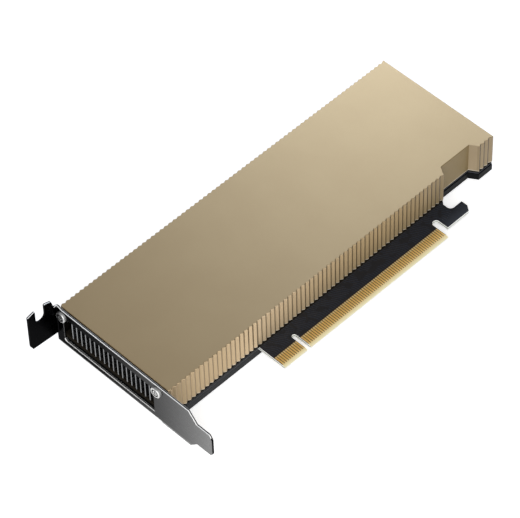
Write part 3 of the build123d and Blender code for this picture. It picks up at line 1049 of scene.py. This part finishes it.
@dataclass
class EdgeContacts:
    """The gold contacts of one face: a run on each side of the key, ending above the bevel."""

    side: Side
    node: str
    surface_z: float
    pitch: float = 1.0
    width: float = 0.70
    top_y: float = 5.60
    foot_y: float = 1.40
    thickness: float = 0.06
    corner: float = 0.16
    key_offset: float = 1.50
    before_key: int = 11
    after_key: int = 71
    smooth_degrees: float = 30.0

    def pad(self) -> bpy.types.Object:
        """Model the first contact after the key.

        Returns:
            The contact.
        """
        length = self.top_y - self.foot_y
        start = metres((self.key_offset, self.foot_y + length / 2, self.surface_z))
        bpy.ops.mesh.primitive_plane_add(size=1.0, location=start)
        piece = bpy.context.active_object
        piece.scale = (self.width * MM, length * MM, 1.0)
        freeze(piece)
        open_mesh(piece, Pick.VERT)
        bpy.ops.mesh.select_all(action="SELECT")
        bpy.ops.mesh.bevel(offset=self.corner * MM, segments=2, affect="VERTICES")
        bpy.ops.mesh.select_all(action="SELECT")
        extrude(self.side.value * self.thickness)
        bpy.ops.mesh.select_all(action="SELECT")
        bpy.ops.mesh.normals_make_consistent(inside=False)
        close_mesh()
        return piece

    def build(self) -> None:
        """Repeat the contact along both runs and dress them."""
        first = self.pad()
        left = twin(first, (-2 * self.key_offset, 0.0, 0.0))
        runs = ((first, self.after_key, self.pitch), (left, self.before_key, -self.pitch))
        for piece, count, step in runs:
            apply_modifier(
                piece,
                "ARRAY",
                count=count,
                use_relative_offset=False,
                use_constant_offset=True,
                constant_offset_displace=metres((step, 0.0, 0.0)),
            )
        piece = join([first, left])
        settle(piece, self.smooth_degrees)
        ride(piece, f"contacts_{self.side.name.lower()}", HardGold().material(), [self.node])


@dataclass
class CrossScrew:
    """A machine screw with a cross recess, modelled head up and then set in place.

    Lengths are in millimetres. The pan head has two rings inset in its top, one sunk and one raised
    again, and its edge is rounded by a share of its height.
    """

    head: Head
    head_radius: float
    head_height: float
    shank_radius: float
    shank_length: float
    recess_length: float
    recess_width: float
    recess_depth: float
    recess_taper: float = 0.55
    groove: Range = (0.50, 0.45)
    groove_depth: float = 0.30
    rounding: float = 0.25
    tip: float = 0.2
    sides: int = 40
    smooth_degrees: float = 30.0

    def blank(self) -> bpy.types.Object:
        """Model the head and the shank, with the bearing face at height 0.

        Returns:
            The screw without its recess.
        """
        bpy.ops.mesh.primitive_cylinder_add(
            vertices=self.sides,
            radius=self.head_radius * MM,
            depth=self.head_height * MM,
            location=metres((0.0, 0.0, self.head_height / 2)),
        )
        piece = bpy.context.active_object
        freeze(piece)
        open_mesh(piece, Pick.FACE)
        if self.head is Head.PAN:
            choose_faces(piece, is_topside)
            round_mm = self.rounding * self.head_height
            bpy.ops.mesh.bevel(offset=round_mm * MM, segments=4, affect="EDGES", profile=0.5)
            choose_faces(piece, is_topside)
            for ring, drop in zip(self.groove, (-self.groove_depth, self.groove_depth)):
                bpy.ops.mesh.inset(thickness=ring * MM)
                extrude(drop)
            choose_faces(piece, is_underside)
            bpy.ops.mesh.inset(thickness=(self.head_radius - self.shank_radius) * MM)
        else:
            choose_faces(piece, is_underside)
            small = self.shank_radius / self.head_radius
            bpy.ops.transform.resize(value=(small, small, 1.0))
        extrude(-self.shank_length)
        bpy.ops.mesh.bevel(offset=self.tip * MM, segments=2, affect="EDGES")
        close_mesh()
        return piece

    def cutter(self, across: bool) -> bpy.types.Object:
        """Model one tapered arm of the recess.

        Args:
            across: True for the arm along Y.

        Returns:
            The arm, open side up.
        """
        bpy.ops.mesh.primitive_cube_add(size=1.0, location=metres((0.0, 0.0, self.head_height)))
        arm = bpy.context.active_object
        sizes = (self.recess_length, self.recess_width)
        flat = sizes[::-1] if across else sizes
        arm.scale = metres((*flat, 2 * self.recess_depth))
        freeze(arm)
        open_mesh(arm, Pick.FACE)
        choose_faces(arm, is_underside)
        bpy.ops.transform.resize(value=(self.recess_taper, self.recess_taper, 1.0))
        close_mesh()
        return arm

    def build(self, place: Place, outward: Place) -> bpy.types.Object:
        """Cut the recess and set the screw in place.

        Args:
            place: Middle of the bearing face, in millimetres.
            outward: Direction that the head faces.

        Returns:
            The screw.
        """
        piece = self.blank()
        for across in (False, True):
            arm = self.cutter(across)
            apply_modifier(piece, "BOOLEAN", operation="DIFFERENCE", object=arm, solver="EXACT")
            bpy.data.objects.remove(arm)
        piece.location = metres(place)
        piece.rotation_mode = "QUATERNION"
        piece.rotation_quaternion = Vector(outward).to_track_quat("Z", "Y")
        settle(piece, self.smooth_degrees)
        return piece


@dataclass
class Fasteners:
    """All the screws that show: two at the bracket and six behind the card."""

    bracket_face_x: float = -56.57
    pan_radius: float = 2.25
    sunk_radius: float = 1.90
    sunk_depth: float = 1.05

    def bracket_pair(self) -> None:
        """Set the two pan-head screws of the bracket."""
        low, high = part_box("bracket_screws")
        height = (low.z + high.z) / 2 / MM
        rows = (low.y / MM + self.pan_radius, high.y / MM - self.pan_radius)
        screw = CrossScrew(
            Head.PAN,
            head_radius=self.pan_radius,
            head_height=1.20,
            shank_radius=1.20,
            shank_length=6.3,
            recess_length=1.7,
            recess_width=0.5,
            recess_depth=0.80,
        )
        pair = [screw.build((self.bracket_face_x, row, height), (-1.0, 0.0, 0.0)) for row in rows]
        finish = PanNickel(middle_y=sum(rows) / 2, half_step=(rows[1] - rows[0]) / 2, height=height)
        ride(join(pair), "bracket_screw_pair", finish.material(), ["bracket_screws"])

    def cover_set(self) -> None:
        """Set the six countersunk screws behind the card."""
        low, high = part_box("cover_screws")
        radius = self.sunk_radius
        columns = (low.x / MM + radius, (low.x + high.x) / 2 / MM, high.x / MM - radius)
        rows = (low.y / MM + radius, high.y / MM - radius)
        screw = CrossScrew(
            Head.COUNTERSUNK,
            head_radius=radius,
            head_height=self.sunk_depth,
            shank_radius=0.98,
            shank_length=(high.z - low.z) / MM - self.sunk_depth,
            recess_length=2.0,
            recess_width=0.5,
            recess_depth=0.6,
        )
        seat_z = low.z / MM + self.sunk_depth
        made = [screw.build((x, y, seat_z), (0.0, 0.0, -1.0)) for x in columns for y in rows]
        oxide = Finish(
            "screw_oxide",
            tone=(0.045, 0.045, 0.048),
            shade=(0.03, 0.03, 0.032),
            metallic=1.0,
            smooth=0.3,
            rough=0.42,
            relief_mm=0.003,
        )
        ride(join(made), "cover_screw_set", oxide.material(), ["cover_screws"])

    def build(self) -> None:
        """Set all the screws."""
        self.bracket_pair()
        self.cover_set()


@dataclass
class InnerParts:
    """The parts under the cover and inside the rear plate, each with its own finish."""

    finishes: dict[str, Finish] = field(default_factory=dict)

    def __post_init__(self) -> None:
        """List the finishes by node."""
        plastic = Finish(
            "moulded_black", (0.022, 0.022, 0.024), (0.03, 0.03, 0.032), rough=0.62, grain=2600.0
        )
        pad = Finish("soft_pad", (0.32, 0.42, 0.52), (0.27, 0.37, 0.47), 0.0, 0.6, 0.8, relief_mm=0.03)
        paste = Finish("grey_paste", (0.52, 0.52, 0.53), (0.45, 0.45, 0.46), smooth=0.4, rough=0.6)
        laminate = Finish("green_laminate", (0.04, 0.15, 0.09), (0.03, 0.12, 0.07))
        ferrite = Finish("pressed_ferrite", (0.10, 0.10, 0.105), (0.14, 0.14, 0.145), smooth=0.5, rough=0.7)
        case = Finish("capacitor_case", (0.03, 0.03, 0.03), (0.045, 0.042, 0.038))
        fired = Finish("fired_ceramic", (0.42, 0.30, 0.19), (0.36, 0.25, 0.15), smooth=0.4)
        silicon = Finish("silicon", (0.10, 0.11, 0.14), (0.08, 0.09, 0.12), 0.4, 0.08, 0.16, 500.0)
        brass = Finish("turned_brass", (0.70, 0.56, 0.28), (0.62, 0.48, 0.22), 1.0, 0.25, 0.4)
        zinc = Finish("screw_zinc", (0.62, 0.62, 0.64), (0.54, 0.54, 0.56), 1.0, 0.25, 0.4)
        spring = Finish("spring_steel", (0.40, 0.40, 0.42), (0.34, 0.34, 0.36), 1.0, 0.3, 0.45)
        can = Finish("crystal_can", (0.6, 0.6, 0.6), (0.5, 0.5, 0.5), 1.0, 0.2, 0.35)
        plated = Finish(
            "plated_base", (0.70, 0.70, 0.71), (0.62, 0.62, 0.63), 1.0, 0.25, 0.4, stretch=(0.1, 1.0, 1.0)
        )
        # Fins toned far darker than bare aluminium: painted shade inside the cover.
        fin = Finish(
            "dimmed_fin",
            tone=(0.22, 0.225, 0.23),
            shade=(0.19, 0.195, 0.20),
            metallic=1.0,
            smooth=0.25,
            rough=0.42,
            grain=1200.0,
            stretch=(0.08, 1.0, 1.0),
            relief_mm=0.004,
        )
        self.finishes = {
            "heatsink_fins": fin,
            "heatsink_base": plated,
            "heatsink_standoffs": brass,
            "heatsink_screws": zinc,
            "retention_spring": spring,
            "processor_substrate": laminate,
            "processor_die": silicon,
            "thermal_paste": paste,
            "memory_chips": plastic,
            "memory_pads": pad,
            "inductors": ferrite,
            "inductor_pads": pad,
            "power_stages": plastic,
            "bulk_capacitors": case,
            "ceramic_capacitors": fired,
            "rear_capacitors": fired,
            "controller_chip": plastic,
            "firmware_chip": plastic,
            "crystal": can,
        }

    def build(self, frame: dict) -> None:
        """Dress the frame's own nodes.

        Args:
            frame: What the frame's load gave.
        """
        made: dict[str, bpy.types.Material] = {}
        for node, finish in self.finishes.items():
            material = made.get(finish.name) or finish.material()
            made[finish.name] = material
            data = frame["nodes"][node].data
            data.materials.clear()
            data.materials.append(material)
            LOG.info("%s: dressed as %s", node, finish.name)


@dataclass
class Card:
    """The whole card, built from the outside in."""

    frame: dict

    def shells(self) -> list[SoftenedPart]:
        """List the rigid parts that keep the frame's shape."""
        return [
            SoftenedPart("cover", "cover_shell", "cover_metal", BlastedAnodising()),
            SoftenedPart("rear_plate", "rear_tray", "rear_metal", DarkAnodising()),
            SoftenedPart("circuit_board", "board", "board", MaskedBoard(), edge_mm=0.04, steps=1),
            SoftenedPart("io_bracket", "bracket", "bracket_metal", BlackNickel(), edge_mm=0.08),
        ]

    def build(self) -> None:
        """Build and dress every sub-assembly."""
        for shell in self.shells():
            shell.build(self.frame)
        EdgeContacts(Side.COMPONENT, "edge_contacts_front", surface_z=0.0).build()
        EdgeContacts(Side.BACK, "edge_contacts_back", surface_z=-1.57).build()
        Fasteners().build()
        InnerParts().build(self.frame)


# ---- studio ----


@dataclass(frozen=True)
class SoftLamp:
    """A square soft lamp that faces a place on the card: places in millimetres, size in metres."""

    name: str
    place: Place
    target: Place
    size: float
    watts: float
    colour: Colour = (1.0, 1.0, 1.0)

    def build(self) -> None:
        """Hang the lamp."""
        data = bpy.data.lights.new(self.name, "AREA")
        data.shape = "SQUARE"
        data.size = self.size
        data.energy = self.watts
        data.color = self.colour
        lamp = bpy.data.objects.new(self.name, data)
        bpy.context.scene.collection.objects.link(lamp)
        lamp.location = metres(self.place)
        aim = metres(self.target) - metres(self.place)
        lamp.rotation_mode = "QUATERNION"
        lamp.rotation_quaternion = aim.to_track_quat("-Z", "Y")
        lamp.visible_camera = False


@dataclass(frozen=True)
class PhotoCamera:
    """The camera at the photograph's viewing angle."""

    place: Place = (-512.559, -517.899, 907.030)
    target: Place = (14.020, 38.682, 5.0)
    roll_degrees: float = -2.0374
    lens: float = 227.637
    sensor: float = 36.0
    clip: Range = (0.05, 20.0)

    def build(self) -> None:
        """Place the camera and make it the scene's."""
        data = bpy.data.cameras.new("photo_camera")
        data.lens = self.lens
        data.sensor_width = self.sensor
        data.clip_start, data.clip_end = self.clip
        camera = bpy.data.objects.new("photo_camera", data)
        bpy.context.scene.collection.objects.link(camera)
        aim = (metres(self.target) - metres(self.place)).to_track_quat("-Z", "Y").to_matrix()
        turn = aim @ Matrix.Rotation(math.radians(self.roll_degrees), 3, "Z")
        camera.matrix_world = Matrix.Translation(metres(self.place)) @ turn.to_4x4()
        bpy.context.scene.camera = camera


@dataclass
class Studio:
    """Pale floor, plain soft light and the camera."""

    floor_z: float = -5.41
    floor_side: float = 8.0
    world_level: float = 0.28
    lamps: tuple[SoftLamp, ...] = (
        SoftLamp(
            "far_softbox",
            place=(400.0, 345.0, 310.0),
            target=(105.0, 45.0, 10.0),
            size=0.20,
            watts=1.02,
            colour=(0.70, 0.81, 1.0),
        ),
        SoftLamp("key", place=(-590.0, -640.0, 460.0), target=(20.0, 40.0, 0.0), size=1.25, watts=12.0),
    )

    def lay_floor(self) -> None:
        """Lay the floor under the card."""
        bpy.ops.mesh.primitive_plane_add(size=self.floor_side, location=(0.0, 0.0, self.floor_z * MM))
        floor = bpy.context.active_object
        floor.name = "floor"
        floor.data.materials.append(ShadowFloor().material())

    def light_world(self) -> None:
        """Fill the world with an even white light."""
        world = bpy.data.worlds.new("studio")
        bpy.context.scene.world = world
        world.use_nodes = True
        background = world.node_tree.nodes["Background"]
        background.inputs["Color"].default_value = WHITE
        background.inputs["Strength"].default_value = self.world_level

    def build(self) -> None:
        """Set up the floor, the world, the lamps and the camera."""
        self.lay_floor()
        self.light_world()
        for lamp in self.lamps:
            lamp.build()
        PhotoCamera().build()
        bpy.context.scene.view_settings.view_transform = "Standard"


def main() -> None:
    """Load the frame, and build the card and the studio."""
    logging.basicConfig(level=logging.INFO, format="%(name)s %(message)s")
    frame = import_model()
    Card(frame).build()
    Studio().build()


if __name__ == "__main__":
    main()
